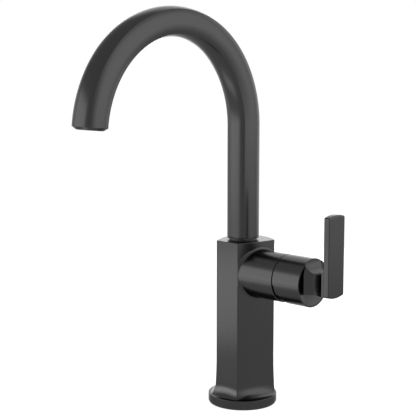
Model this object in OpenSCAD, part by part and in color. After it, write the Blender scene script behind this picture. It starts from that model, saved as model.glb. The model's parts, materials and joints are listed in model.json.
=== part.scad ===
// Gooseneck bar faucet with a side lever, mounted through one deck hole.
// The origin is on the deck, on the axis of the swivelling spout. The spout
// reaches towards -Y, the handle sticks out towards +X, and +Z is up.

/* [Base and body] */
// Radius of the round foot on the deck
base_r = 28.5; // [28:0.5:32]
// Height of the straight rim of the foot
rim_h = 7.8; // [6:0.2:9]
// Height at which the hollow curve above the foot starts
cove_z = 18; // [16:1:22]
// Height at which the body starts to widen a little
taper_z = 40; // [34:1:50]
// Growth of the body at the top of the hollow curve
taper_w = 0.65; // [0.3:0.05:1]
// Height of the flat top of the body
body_top = 137.5; // [136:0.1:139]
// Half the width of the front face
front_x = 11.6; // [10.5:0.1:12]
// Distance from the axis to the front face
front_y = 19.8; // [19.6:0.1:20.5]
// Half the width across the back corners
back_x = 21.4; // [20:0.1:22]
// Distance from the axis to the back corners
back_y = 14.65; // [14:0.05:15]
// Rise of the curved side faces
side_bow = 1.5; // [1:0.1:2]
// Rise of the curved back face
back_bow = 7.7; // [7:0.1:8]
// Radius of the four upright edges
edge_r = 1; // [0.6:0.1:1.4]

/* [Spout] */
// Distance from the middle of the tube to a corner of its section
tube_corner = 13.06; // [12.8:0.02:13.2]
// Distance from the middle of the tube to the middle of a side
tube_side = 11.7; // [11.2:0.1:11.9]
// Radius of the tube's round bore
tube_bore = 9.9; // [9.5:0.1:10]
// Height of the lower end of the tube
tube_foot = 140.2; // [140.1:0.1:141]
// Height at which the neck starts to bend
spring_z = 231; // [180:1:260]
// Radius of the bend, to the middle of the tube
bend_r = 83.2; // [70:0.2:100]
// Angle that the bend turns through
bend_angle = 174; // [165:1:180]
// Height of the bevelled end of the spout
tip_bevel = 2.2; // [1.6:0.1:2.4]

/* [Handle] */
// Height of the handle's axis
handle_z = 111.2; // [110.8:0.1:111.4]
// Radius of the fixed collar
collar_r = 19.5; // [19.3:0.1:19.6]
// Distance from the spout's axis to the end of the collar
collar_x = 46.4; // [46.2:0.1:46.6]
// Radius of the turning hub
hub_r = 19.5; // [19.2:0.1:19.6]
// Distance from the spout's axis to the rim of the hub's end
hub_end = 73.5; // [73:0.1:74.5]
// Distance from the spout's axis to the inner face of the blade
blade_x = 90; // [89.8:0.1:91]
// Thickness of the blade
blade_t = 5.6; // [5:0.1:6]
// Width of the blade
blade_w = 19.7; // [18.5:0.1:20.5]
// Height of the blade's lower end over the handle's axis
blade_low = -9.1; // [-9.5:0.1:-8.5]
// Height of the blade's upper end over the handle's axis
blade_high = 56.3; // [45:0.1:65]
// Tilt of the lever from shut to full flow
tilt_angle = 20; // [18:1:20]

/* [Hidden] */
$fn = 64;

// Finishes, as they show on the real object
satin_black = [0.13, 0.13, 0.135];
brass = [0.78, 0.62, 0.32];
copper = [0.76, 0.45, 0.3];
steel = [0.7, 0.71, 0.72];
ceramic = [0.93, 0.92, 0.88];
rubber = [0.08, 0.08, 0.08];
plastic = [0.85, 0.85, 0.83];
grey_plastic = [0.45, 0.46, 0.48];

slack = 0.05;        // radial clearance of a running fit
through = 1;         // extra length of a cut past a face

// Foot
gasket_h = 1.2;
gasket_in = 17.4;
plate_r = 24;
plate_top = 6;
plate_boss_top = 12;
screw_ring = 20.5;   // radius of the circle of plate screws
port_r = 4.5;        // M10x1 hose port, tapping size
port_depth = 9;
stud_r = 3.4;        // M8 stud hole, tapping size
stud_x = -9.5;
inlet_x = 2;
inlet_y = 7;

// Waterway
cavity_r = 13.5;
cavity_top = 134.2;
core_r = 13.4;
core_low = 84;
core_top = 134;
tail_bore = 10;
tail_low = 122;
chamber_low = 113;
passage_r = 2.6;
passage_ring = 4.6;  // radius of the circle of the three passages
tube_r = 4;
tube_in = 3.2;
stop_z = 128;
stop_tip = 1.5;
stop_shank = 2;
spout_swing = 60;    // swing of the spout to each side

// Valve, measured along the handle's axis
socket_r = 17;
socket_bore = 14.1;
pivot_x = 47;        // the lever tilts about this point
foot_arm = 11;       // from the pivot to the ball that pushes the disc
disc_travel = foot_arm * tilt_angle * PI / 180;
disc_rest = -disc_travel / 2;
dome_r = 18.2;
dome_in = 16.8;
dome_end = 58;
hub_cavity = 18.45;
bar = 6;             // side of the square stem
screw_x = 67;        // place of the set screw that holds the hub

// Section of the body: four bowed faces, front, right, back and left
corners = [[-front_x, -front_y], [front_x, -front_y], [back_x, back_y], [-back_x, back_y]];
bows = [0.2, side_bow, back_bow, side_bow];

function bow_radius(a, b, s) = (pow(norm(b - a), 2) / 4 + s * s) / (2 * s);
function left_of(a, b) = [a[1] - b[1], b[0] - a[0]] / norm(b - a);
function bow_centre(a, b, s) = (a + b) / 2 + left_of(a, b) * (bow_radius(a, b, s) - s);
function next(i) = (i + 1) % 4;
function before(i) = (i + 3) % 4;
function face_r(i) = bow_radius(corners[i], corners[next(i)], bows[i]);
function face_c(i) = bow_centre(corners[i], corners[next(i)], bows[i]);
// The two points at distance p from a and q from b, and the one nearest to a corner
function meet(a, p, b, q, side) =
    let (d = norm(b - a), along = (p * p - q * q + d * d) / (2 * d))
    a + (b - a) / d * along + side * left_of(a, b) * sqrt(p * p - along * along);
function nearest(c, m, n) = norm(m - c) < norm(n - c) ? m : n;
// Centre of the small radius between face i and the next one
function edge_centre(i) =
    let (j = next(i), p = face_r(i) - edge_r, q = face_r(j) - edge_r)
    nearest(corners[j], meet(face_c(i), p, face_c(j), q, 1), meet(face_c(i), p, face_c(j), q, -1));
function heading(v) = atan2(v[1], v[0]);
function after(a, b) = b < a ? b + 360 : b;
// Points of an arc from angle a round to angle b
function arc_points(c, r, a, b, n) = [for (k = [0:n - 1]) c + r * [cos(a + (b - a) * k / n), sin(a + (b - a) * k / n)]];
function face_points(i, n) =
    let (a = heading(edge_centre(before(i)) - face_c(i)), b = heading(edge_centre(i) - face_c(i)))
    arc_points(face_c(i), face_r(i), a, after(a, b), n);
function edge_points(i, n) =
    let (a = heading(edge_centre(i) - face_c(i)), b = heading(edge_centre(i) - face_c(next(i))))
    arc_points(edge_centre(i), edge_r, a, after(a, b), n);
face_steps = [4, 8, 12, 8];
body_outline = [for (i = [0:3]) each concat(face_points(i, face_steps[i]), edge_points(i, 4))];

// The outline at a height: spread adds to its radius, and round turns it into the foot's circle
rim_edge = 0.35;
function ring(z, spread, round) = [for (p = body_outline)
    let (r = norm(p) + spread, full = r + (base_r - rim_edge - r) * round)
    [p[0] / norm(p) * full, p[1] / norm(p) * full, z]];
function circle_ring(z, r) = [for (p = body_outline) [p[0] / norm(p) * r, p[1] / norm(p) * r, z]];
cove_steps = 9;
taper_steps = 4;
body_rings = concat(
    [circle_ring(gasket_h, base_r - rim_edge), circle_ring(gasket_h + rim_edge, base_r),
     circle_ring(rim_h - rim_edge, base_r)],
    [for (k = [0:cove_steps - 1]) let (a = 90 * (1 - k / cove_steps))
        ring(cove_z - (cove_z - rim_h) * sin(a), taper_w, 1 - cos(a))],
    [for (k = [0:taper_steps]) let (t = k / taper_steps)
        ring(cove_z + (taper_z - cove_z) * t, taper_w * pow(1 - t, 2), 0)],
    [ring(body_top - 0.5, 0, 0), ring(body_top - 0.15, -0.15, 0), ring(body_top, -0.5, 0)]);

// Square with bowed sides and rounded corners, the section of the spout
function soft_square(corner, side, r) =
    let (q = (corner - r) / sqrt(2),
         c = (2 * q * q - pow(side - r, 2)) / (2 * (side - r - q)),
         a = atan2(q, q + c))
    [for (k = [0:90:270]) each concat(
        arc_points(-c * [cos(k), sin(k)], c + side, k - a, k + a, 8),
        arc_points(sqrt(2) * q * [cos(k + 45), sin(k + 45)], r, k + a, k + 90 - a, 4))];
function lift_ring(outline, z) = [for (p = outline) [p[0], p[1], z]];

// A closed skin over rings that all have the same number of points
module skin(rings) {
    n = len(rings[0]);
    last = len(rings) - 1;
    polyhedron(
        points = [for (r = rings) each r],
        faces = concat(
            [[for (k = [0:n - 1]) k]],
            [for (i = [0:last - 1], k = [0:n - 1])
                let (a = i * n + k, b = i * n + (k + 1) % n)
                [a, a + n, b + n, b]],
            [[for (k = [n - 1:-1:0]) last * n + k]]));
}

// Puts its children on the handle's axis: their +Z becomes +X, and their +X points down
module on_handle(x) {
    translate([x, 0, handle_z]) rotate([0, 90, 0]) children();
}

module rod(x0, x1, r) {
    on_handle(x0) cylinder(h = x1 - x0, r = r);
}

// Puts its children at the end of the bend, with +Z along the flow
module at_tip() {
    translate([0, -bend_r, spring_z]) rotate([90, 0, 90]) rotate([0, 0, bend_angle])
        translate([bend_r, 0, 0]) rotate([-90, 0, 0]) children();
}

// The three passages of the valve: outlet above, hot and cold below
module passages(x0, x1, r) {
    for (a = [180, -60, 60])
        on_handle(x0) rotate([0, 0, a]) translate([passage_ring, 0, 0]) cylinder(h = x1 - x0, r = r, $fn = 32);
}

// ---- Fixed pieces ----

module base_gasket() {
    color(rubber) difference() {
        cylinder(h = gasket_h, r = base_r - 0.7, $fn = 128);
        translate([0, 0, -through]) cylinder(h = gasket_h + 2 * through, r = gasket_in);
    }
}

module base_plate() {
    color(brass) difference() {
        union() {
            cylinder(h = gasket_h, r = gasket_in - 0.2);
            translate([0, 0, gasket_h]) cylinder(h = plate_top - gasket_h, r = plate_r);
            translate([0, 0, plate_top]) cylinder(h = plate_boss_top - plate_top, r = core_r);
        }
        for (y = [-inlet_y, inlet_y]) {
            translate([inlet_x, y, -through]) cylinder(h = port_depth + through, r = port_r);
            translate([inlet_x, y, 0]) cylinder(h = plate_boss_top + through, r = tube_r);
        }
        translate([stud_x, 0, -through]) cylinder(h = plate_boss_top - 2 + through, r = stud_r);
        for (a = [30:120:270]) rotate(a) translate([screw_ring, 0, 0]) {
            cylinder(h = plate_top + through, r = 1.6);
            cylinder(h = 3.2, r = 2.9);
        }
    }
}

module base_plate_screws() {
    color(steel) for (a = [30:120:270]) rotate(a) translate([screw_ring, 0, 0]) difference() {
        union() {
            translate([0, 0, gasket_h]) cylinder(h = 2, r = 2.75);
            translate([0, 0, gasket_h + 2]) cylinder(h = 7.3, r = 1.5);
        }
        translate([0, 0, gasket_h - through]) cylinder(h = 2, r = 1.2, $fn = 6);
    }
}

// Concave fillet between the collar and the bowed side of the body. It runs out
// where the collar reaches the front corner, and again round the back corner.
fillet_r = 2.4;
fillet_least = 0.25;
fillet_sink = 0.06;  // both rims run out just below the surfaces they meet
fillet_steps = 5;
fillet_around = 72;
fillet_front = 19.75;
fillet_back = 12.5;
function side_face_x(y) = face_c(1)[0] + sqrt(pow(face_r(1), 2) - pow(y - face_c(1)[1], 2));
function back_face_x(y) = sqrt(pow(face_r(2), 2) - pow(y - face_c(2)[1], 2));
function wall_x(y) = y < back_y - 0.6 ? side_face_x(max(y, -front_y)) : min(side_face_x(y), back_face_x(y));
function fillet_size(around) =
    let (y = collar_r * cos(around))
    y < 0 ? max(fillet_least, min(fillet_r, fillet_front / -cos(around) - collar_r))
          : y < fillet_back ? fillet_r
          : max(fillet_least, fillet_r * (1 - (y - fillet_back) / (collar_r - fillet_back)));
function fillet_point(r, lift, around) =
    let (y = r * cos(around)) [wall_x(y) + lift, y, handle_z + r * sin(around)];
function fillet_profile(around) = let (size = fillet_size(around)) concat(
    [fillet_point(collar_r + size, -1, around)],
    [for (k = [0:fillet_steps]) let (a = 90 * k / fillet_steps)
        fillet_point(collar_r + size * (1 - sin(a)) - fillet_sink, size * (1 - cos(a)) - fillet_sink, around)],
    [fillet_point(collar_r - 0.8, size + 0.2, around), fillet_point(collar_r - 0.8, -1, around)]);

module collar_fillet() {
    profiles = [for (k = [0:fillet_around - 1]) fillet_profile(360 * (k + 0.5) / fillet_around)];
    n = len(profiles[0]);
    polyhedron(
        points = [for (p = profiles) each p],
        faces = [for (i = [0:fillet_around - 1], k = [0:n - 1])
            let (j = (i + 1) % fillet_around, m = (k + 1) % n)
            each [[i * n + k, i * n + m, j * n + m], [i * n + k, j * n + m, j * n + k]]]);
}

module stop_screw_hole() {
    translate([0, 0, stop_z]) rotate([-90, 0, 0]) cylinder(h = 40, r = stop_shank + slack, $fn = 32);
}

module body_shell() {
    color(satin_black) difference() {
        skin(body_rings);
        translate([0, 0, -through]) cylinder(h = plate_top + through, r = plate_r + slack);
        cylinder(h = cavity_top, r = cavity_r);
        cylinder(h = body_top + through, r = tail_bore + 0.3);
        rod(8, 13, 8 + slack);
        rod(12, collar_x, socket_r + slack);
        stop_screw_hole();
        for (a = [30:120:270]) rotate(a) translate([screw_ring, 0, 0]) cylinder(h = 11, r = 1.5, $fn = 32);
    }
}

// Collar brazed on the side of the body and dressed to a fillet
module handle_collar() {
    color(satin_black) difference() {
        union() {
            rod(8, collar_x, collar_r, $fn = 128);
            collar_fillet();
        }
        skin(body_rings);
        rod(0, collar_x - 2.4, socket_r + slack);
        rod(20, collar_x + through, dome_r - 1);
        rod(collar_x - 2.6, collar_x + through, dome_r + slack);
    }
}

module inlet_tube(y) {
    color(copper) translate([inlet_x, y, port_depth + 0.5]) difference() {
        cylinder(h = core_low + 6 - port_depth - 0.5, r = tube_r);
        translate([0, 0, -through]) cylinder(h = core_low, r = tube_in);
    }
}

module hot_tube() {
    inlet_tube(inlet_y);
}

module cold_tube() {
    inlet_tube(-inlet_y);
}

module waterway_core() {
    color(brass) difference() {
        translate([0, 0, core_low]) cylinder(h = core_top - core_low, r = core_r);
        translate([0, 0, tail_low]) cylinder(h = body_top - tail_low, r = tail_bore);
        translate([0, 0, chamber_low]) cylinder(h = body_top - chamber_low, r = 7);
        rod(10.5, 2 * core_r, 8 + slack);
        rod(12.9, 2 * core_r, socket_r);
        translate([0, 0, handle_z + passage_ring]) rotate([0, 90, 0]) cylinder(h = core_r, r = passage_r, $fn = 32);
        for (side = [-1, 1]) {
            translate([inlet_x, side * passage_ring * sin(60), handle_z - passage_ring / 2])
                rotate([0, 90, 0]) cylinder(h = core_r, r = passage_r, $fn = 32);
            translate([inlet_x, side * inlet_y, core_low - through])
                cylinder(h = handle_z - passage_ring / 2 - core_low + 2, r = passage_r, $fn = 32);
            translate([inlet_x, side * inlet_y, core_low - through]) cylinder(h = 6 + through, r = tube_r);
        }
        stop_screw_hole();
    }
}

// Grub screw in the back that holds the spout down and stops its swing
module spout_stop_screw() {
    color(steel) translate([0, 0, stop_z]) rotate([-90, 0, 0]) difference() {
        union() {
            translate([0, 0, 8.4]) cylinder(h = 3, r = stop_tip, $fn = 32);
            translate([0, 0, 10.4]) cylinder(h = 10.4, r = stop_shank, $fn = 32);
        }
        translate([0, 0, 18.5]) cylinder(h = 4, r = 1.1, $fn = 6);
    }
}

module glide_washer() {
    color(rubber) translate([0, 0, body_top]) difference() {
        cylinder(h = 1, r = 11.3);
        translate([0, 0, -through]) cylinder(h = 1 + 2 * through, r = tail_bore + slack);
    }
}

module valve_socket() {
    color(brass) difference() {
        union() {
            rod(13, 40.2, socket_r);
            rod(10.5, 14, 8);
        }
        rod(24, 41, socket_bore);
        passages(10, 25, passage_r);
    }
}

module cartridge_seals() {
    color(rubber) difference() {
        passages(24, 25.1, 3.7);
        passages(23, 26, 2.7);
    }
}

module cartridge_base() {
    color(grey_plastic) difference() {
        rod(24.3, 28, 14);
        passages(24, 29, 2.4);
        passages(24, 25.1, 3.75);
    }
}

module fixed_disc() {
    color(ceramic) difference() {
        rod(28, 30.8, 11.8);
        passages(27, 32, 2.2);
    }
}

module cartridge_housing() {
    color(plastic) difference() {
        union() {
            rod(28, 40.3, 14);
            rod(40.3, 45.5, 11);
        }
        rod(27, 39.4, 12.1);
        rod(39, 46, 9 + slack);
    }
}

module bonnet_nut() {
    color(brass) difference() {
        rod(40.5, 43.7, socket_r);
        rod(40, 44, 11.1);
        for (a = [45:90:315])
            on_handle(42.2) rotate(a) translate([12.5, -1.5, 0]) cube([6, 3, 3]);
    }
}

// Fixed dome that fills the gap under the tilting hub
module bonnet_dome() {
    color(satin_black) difference() {
        union() {
            rod(43.9, pivot_x, dome_r);
            intersection() {
                on_handle(pivot_x) sphere(dome_r, $fn = 96);
                rod(pivot_x, dome_end, 2 * dome_r);
            }
        }
        rod(43, pivot_x, dome_in);
        on_handle(pivot_x) sphere(dome_in, $fn = 96);
    }
}

// ---- Pieces that turn for temperature ----

module cartridge_rotor() {
    color(grey_plastic) difference() {
        union() {
            rod(37.3, 39.3, 11.8);
            rod(39.2, 49.5, 9);
        }
        translate([36, -bar / 2 - slack, handle_z - 6.5]) cube([15, bar + 2 * slack, 13]);
        translate([pivot_x, -10, handle_z]) rotate([-90, 0, 0]) cylinder(h = 20, r = 1.5, $fn = 32);
    }
}

module rotor_pin() {
    color(steel) translate([pivot_x, -8.4, handle_z]) rotate([-90, 0, 0]) cylinder(h = 16.8, r = 1.5, $fn = 32);
}

// ---- Pieces that slide for flow ----

module moving_disc() {
    color(ceramic) translate([0, 0, disc_rest]) difference() {
        rod(30.85, 33.2, 8.2);
        translate([30, -4.6, handle_z - 1.5]) cube([2, 9.2, 5]);
    }
}

module disc_driver() {
    color(plastic) translate([0, 0, disc_rest]) difference() {
        rod(33.2, 36.9, 8.2);
        translate([32, -2.25, handle_z - disc_rest - 2.25]) cube([6, 4.5, 4.5]);
    }
}

// ---- Pieces that tilt with the lever ----

module lever_stem() {
    color(steel) difference() {
        union() {
            on_handle(pivot_x - foot_arm) sphere(2, $fn = 48);
            rod(pivot_x - foot_arm, 44, 1.6);
            translate([43.5, -bar / 2, handle_z - bar / 2]) cube([26, bar, bar]);
        }
        translate([pivot_x, -10, handle_z]) rotate([-90, 0, 0]) cylinder(h = 20, r = 1.53, $fn = 32);
    }
}

module hub_bushing() {
    color(brass) difference() {
        rod(58.5, 69.6, 6);
        translate([58, -bar / 2 - slack, handle_z - bar / 2 - slack]) cube([12, bar + 2 * slack, bar + 2 * slack]);
        translate([screw_x, 0, handle_z - 10]) cylinder(h = 10, r = stop_shank + slack, $fn = 32);
    }
}

// The neck between the hub and the blade, waisted at the sides and hollowed on top
waist_x = 81;
waist_half = 6.6;
waist_r = 11.2;
saddle_x = 81.9;
saddle_up = 18;
saddle_r = 9.4;
saddle_half = 10.6;
module hub_neck() {
    difference() {
        intersection() {
            rod(69.7, blade_x, hub_r, $fn = 128);
            translate([60, -11, handle_z + blade_low + blade_crown]) cube([60, 22, 2 * hub_r]);
        }
        for (side = [-1, 1]) {
            translate([waist_x, side * (waist_half + waist_r), 0]) cylinder(h = 2 * body_top, r = waist_r, $fn = 96);
            translate([waist_x, side * (blade_w / 2 - blade_side + 5), handle_z]) cube([30, 10, 60], center = true);
        }
    }
}

dish_depth = 3;
dish_r = 18.7;
module handle_hub() {
    dish = (dish_r * dish_r + dish_depth * dish_depth) / (2 * dish_depth);
    color(satin_black) difference() {
        union() {
            difference() {
                rod(pivot_x, hub_end, hub_r, $fn = 128);
                on_handle(hub_end - dish_depth + dish) sphere(dish, $fn = 180);
            }
            hub_neck();
            rod(blade_x - 1, blade_x + 3, 2.5);
        }
        translate([saddle_x, -saddle_half, handle_z + saddle_up]) rotate([-90, 0, 0])
            cylinder(h = 2 * saddle_half, r = saddle_r, $fn = 96);
        on_handle(pivot_x) sphere(hub_cavity, $fn = 96);
        rod(58, 69.7, 6 + slack);
        translate([screw_x, 0, handle_z - 2 * hub_r]) cylinder(h = 2 * hub_r, r = stop_shank + slack, $fn = 32);
        // Relief that lets the lower edge swing in over the dome
        translate([0, hub_r + through, handle_z]) rotate([90, 0, 0]) linear_extrude(2 * (hub_r + through))
            polygon([[pivot_x - through, 0], [pivot_x, 0],
                     [pivot_x + 22 * tan(tilt_angle + 1), -22], [pivot_x - through, -22]]);
    }
}

module hub_set_screw() {
    color(steel) translate([screw_x, 0, handle_z - 17.5]) difference() {
        cylinder(h = 17.5 - bar / 2, r = stop_shank, $fn = 32);
        translate([0, 0, -through]) cylinder(h = 3, r = 1.1, $fn = 6);
    }
}

// Flat bar with crowned ends and softened edges, built up through its thickness
blade_crown = 1.2;   // rise of the curved ends
blade_corner = 1.5;  // radius of the four corners of the face
blade_side = 0.9;    // softening of the long edges
blade_end = 1.5;     // softening of the outer edges of the two ends
blade_swell = 0.5;   // growth of that softening at the middle of an end
function blade_outline(x, side, end) =
    let (half = blade_w / 2 - blade_corner, mid = (blade_low + blade_high) / 2,
         high = (blade_high - blade_low) / 2 - blade_corner - blade_crown)
    [for (k = [0:3])
        let (sy = k == 0 || k == 3 ? 1 : -1, sz = k < 2 ? 1 : -1)
        each concat(
            [for (a = [0:22.5:90]) let (t = 90 * k + a)
                [x, sy * half + (blade_corner - side) * cos(t),
                 handle_z + mid + sz * high + (blade_corner - side) * sin(t) - (end - side) * sz]],
            k % 2 == 1 ? [] : [for (u = [0.8:-0.2:-0.8])
                [x, sz * u * half,
                 handle_z + mid + sz * (high + blade_corner - end
                     + (blade_crown - blade_swell * (end - side)) * (1 - u * u))]])];
module lever_blade() {
    rings = concat(
        [for (a = [90:-30:0]) let (inset = blade_side * (1 - cos(a)))
            blade_outline(blade_x + blade_side * (1 - sin(a)), inset, inset)],
        [for (a = [0:22.5:90])
            blade_outline(blade_x + blade_t - blade_side * (1 - sin(a)), blade_side * (1 - cos(a)), blade_end * (1 - cos(a)))]);
    color(satin_black) difference() {
        skin(rings);
        rod(blade_x - through, blade_x + 3, 2.5);
    }
}

// ---- Pieces that swivel with the spout ----

module neck_ring() {
    color(satin_black) translate([0, 0, body_top + 1.1]) difference() {
        union() {
            linear_extrude(1.2) polygon(soft_square(tube_corner - 0.1, tube_side - 0.1, edge_r));
            linear_extrude(tube_foot - body_top - 1.1)
                polygon(soft_square(tube_corner - 0.8, tube_side - 0.8, edge_r));
        }
        translate([0, 0, -through]) cylinder(h = 4, r = tail_bore);
    }
}

// Turned tail that carries the spout in the body
module spout_tail() {
    color(brass) difference() {
        union() {
            translate([0, 0, tail_low + 0.4]) cylinder(h = tube_foot - tail_low - 0.4, r = tail_bore - slack);
            translate([0, 0, tube_foot - through]) cylinder(h = 12, r = tube_bore);
        }
        translate([0, 0, tail_low - through]) cylinder(h = 40, r = 7);
        for (z = [124, 132]) translate([0, 0, z]) difference() {
            cylinder(h = 1.8, r = tail_bore + 1);
            translate([0, 0, -through]) cylinder(h = 4, r = 8.6);
        }
        // Groove for the stop screw, over part of the turn
        swing = 2 * (spout_swing + 12);
        translate([0, 0, stop_z - 1.7]) rotate(90 - swing / 2) rotate_extrude(angle = swing)
            translate([8, 0]) square([3, 3.4]);
    }
}

module spout_orings() {
    color(rubber) for (z = [124.9, 132.9])
        translate([0, 0, z]) rotate_extrude() translate([9.28, 0]) circle(0.68, $fn = 32);
}

// The gooseneck: a straight rise, then one even bend
module neck_path(grow, turn) {
    translate([0, 0, tube_foot - grow]) linear_extrude(spring_z - tube_foot + grow) children();
    translate([0, -bend_r, spring_z]) rotate([90, 0, 90])
        rotate_extrude(angle = turn, $fn = 180) translate([bend_r, 0]) children();
}

module spout_tube() {
    color(satin_black) difference() {
        neck_path(0, bend_angle) polygon(soft_square(tube_corner, tube_side, edge_r));
        neck_path(through, bend_angle + 1) circle(tube_bore);
    }
}

// Bevelled end piece, brazed into the tube, which holds the aerator
tip_bore = 8.3;
module spout_tip() {
    color(satin_black) at_tip() difference() {
        union() {
            skin([lift_ring(soft_square(tube_corner, tube_side, edge_r), 0),
                  lift_ring(soft_square(tube_corner, tube_side, edge_r), 0.2),
                  lift_ring(soft_square(tube_corner - tip_bevel * sqrt(2), tube_side - tip_bevel, edge_r), tip_bevel + 0.1)]);
            translate([0, 0, -3]) cylinder(h = 3.1, r = tube_bore - slack);
            translate([0, 0, -12]) cylinder(h = 10, r = tube_bore - 0.9);
        }
        translate([0, 0, -13]) cylinder(h = 20, r = tip_bore);
    }
}

module aerator_washer() {
    color(rubber) at_tip() translate([0, 0, -11]) difference() {
        cylinder(h = 1.5, r = 8.2);
        translate([0, 0, -through]) cylinder(h = 4, r = 6.2);
    }
}

module aerator_insert() {
    color(plastic) at_tip() translate([0, 0, -9.4]) difference() {
        cylinder(h = 5, r = 7.1);
        for (a = [0:30:330]) rotate(a) translate([4.8, 0, -through]) cylinder(h = 7, r = 0.7, $fn = 24);
        translate([0, 0, 3]) cylinder(h = 3, r = 5.9);
    }
}

module aerator_housing() {
    color(rubber) at_tip() difference() {
        translate([0, 0, -9.5]) cylinder(h = 11, r = 8.25);
        translate([0, 0, -10]) cylinder(h = 13, r = 7.15);
        for (a = [0:90:270]) rotate(a) translate([6, -1, 0.5]) cube([4, 2, 3]);
    }
}

// Outlet grid, a close pattern of round holes
grid_pitch = 2.1;
module aerator_screen() {
    color(grey_plastic) at_tip() translate([0, 0, -1.6]) difference() {
        cylinder(h = 1, r = 7.1);
        for (i = [-3:3], j = [-3:3])
            if (abs(i + j) <= 3)
                translate([grid_pitch * (i + j / 2), grid_pitch * j * sin(60), -through])
                    cylinder(h = 3, r = 0.72, $fn = 24);
    }
}

base_gasket();
base_plate();
base_plate_screws();
body_shell();
handle_collar();
hot_tube();
cold_tube();
waterway_core();
spout_stop_screw();
glide_washer();
valve_socket();
cartridge_seals();
cartridge_base();
fixed_disc();
cartridge_housing();
bonnet_nut();
bonnet_dome();
cartridge_rotor();
rotor_pin();
moving_disc();
disc_driver();
lever_stem();
hub_bushing();
handle_hub();
hub_set_screw();
lever_blade();
neck_ring();
spout_tail();
spout_orings();
spout_tube();
spout_tip();
aerator_washer();
aerator_insert();
aerator_housing();
aerator_screen();
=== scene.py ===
"""Gooseneck bar faucet in satin black, dressed for a studio picture.

The packed solids give the sizes and the places. Each operator below models one
piece, or one group of like pieces, over the solid that it stands for.
"""
import json
import math

import bmesh
import bpy
from mathutils import Matrix, Vector


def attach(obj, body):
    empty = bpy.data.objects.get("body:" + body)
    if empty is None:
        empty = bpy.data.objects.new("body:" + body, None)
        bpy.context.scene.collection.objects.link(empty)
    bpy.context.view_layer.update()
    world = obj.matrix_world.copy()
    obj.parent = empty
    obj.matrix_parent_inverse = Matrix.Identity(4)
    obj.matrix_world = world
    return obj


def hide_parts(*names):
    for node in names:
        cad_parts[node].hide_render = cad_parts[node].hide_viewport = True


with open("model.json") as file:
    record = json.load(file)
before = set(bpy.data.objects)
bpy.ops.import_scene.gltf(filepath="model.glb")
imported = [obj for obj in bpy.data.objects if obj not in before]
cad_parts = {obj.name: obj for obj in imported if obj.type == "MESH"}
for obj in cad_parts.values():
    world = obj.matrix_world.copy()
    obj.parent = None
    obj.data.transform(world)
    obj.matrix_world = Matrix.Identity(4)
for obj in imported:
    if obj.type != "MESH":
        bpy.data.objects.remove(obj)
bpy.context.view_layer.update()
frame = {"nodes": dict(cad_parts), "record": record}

bl_info = {
    "name": "Gooseneck Bar Faucet",
    "version": (1, 0, 0),
    "blender": (4, 5, 0),
    "location": "View3D > Sidebar > Faucet",
    "description": "Models a single-hole bar faucet with a swivelling gooseneck spout and a side lever",
    "category": "Add Mesh",
}

MM = 0.001
UP = Vector((0, 0, 1))

# Steps in the curves: more of them make a finer mesh.
ROUND_STEPS = 160  # round pieces, a full turn
SIDE_STEPS = 14  # a bowed side of the spout
CORNER_STEPS = 6  # a rounded long edge of the body or the spout
BORE_STEPS = 80  # the spout's bore, a full turn
BEND_STEPS = 116  # along the bend of the gooseneck
RIM_STEPS = 3  # a softened edge of the foot
COVE_STEPS = 16  # the hollow curve above the foot
TAPER_STEPS = 6  # from the hollow curve to the straight body
SOFT_STEPS = 4  # softened edges of the body's top, the collar and the hub
FILLET_STEPS = 10  # the fillet between the collar and the body
DISH_STEPS = 14  # the hollow in the hub's end
CAVITY_STEPS = 16  # the hollow in the hub, over the dome
WAIST_STEPS = 24  # a side of the neck
SADDLE_STEPS = 96  # the cutter for the top of the neck, a full turn
STEM_HOLE_STEPS = 64  # the hole for the stem, a full turn
DOME_STEPS = {"outer": 20, "inner": 12}
# The blade: a corner, an end and a side of its outline, and its softened inner and outer edges.
BLADE_STEPS = {"corner": 8, "end": 20, "side": 24, "inner": 5, "outer": 6}

# Radii of the softened edges.
RIM_EDGE = 0.35 * MM  # the foot
TOP_EDGE = 0.5 * MM  # the body's top
HUB_EDGE = 0.45 * MM  # the collar's end and the hub's rims


# ---- Sizes and colours that a user may change ----

def length(name, description, default):
    """A length, with its default in millimetres."""
    return bpy.props.FloatProperty(name=name, description=description, default=default * MM,
                                   subtype="DISTANCE", unit="LENGTH", precision=5)


def colour(name, description, default):
    """A colour, with its default in linear red, green and blue."""
    return bpy.props.FloatVectorProperty(name=name, description=description, size=3,
                                         subtype="COLOR", min=0, max=1, default=default)


class BodySizes(bpy.types.PropertyGroup):
    """Foot, upright body and collar"""
    foot_radius: length("Foot radius", "Radius of the round foot", 28.5)
    foot_rim: length("Foot rim", "Height of the straight rim of the foot", 7.8)
    gasket: length("Gasket", "Thickness of the gasket under the foot", 1.2)
    cove_top: length("Cove top", "Height at which the hollow curve above the foot starts", 18)
    taper_top: length("Taper top", "Height at which the body starts to widen", 40)
    taper: length("Taper", "Growth of the body at the top of the hollow curve", 0.65)
    top: length("Top", "Height of the flat top", 137.5)
    edge: length("Edge radius", "Radius of the four upright edges", 1.0)
    collar_radius: length("Collar radius", "Radius of the fixed collar", 19.5)
    collar_end: length("Collar end", "Distance from the spout's axis to the collar's end", 46.4)
    fillet: length("Fillet", "Radius of the fillet between the collar and the body", 2.4)


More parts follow.
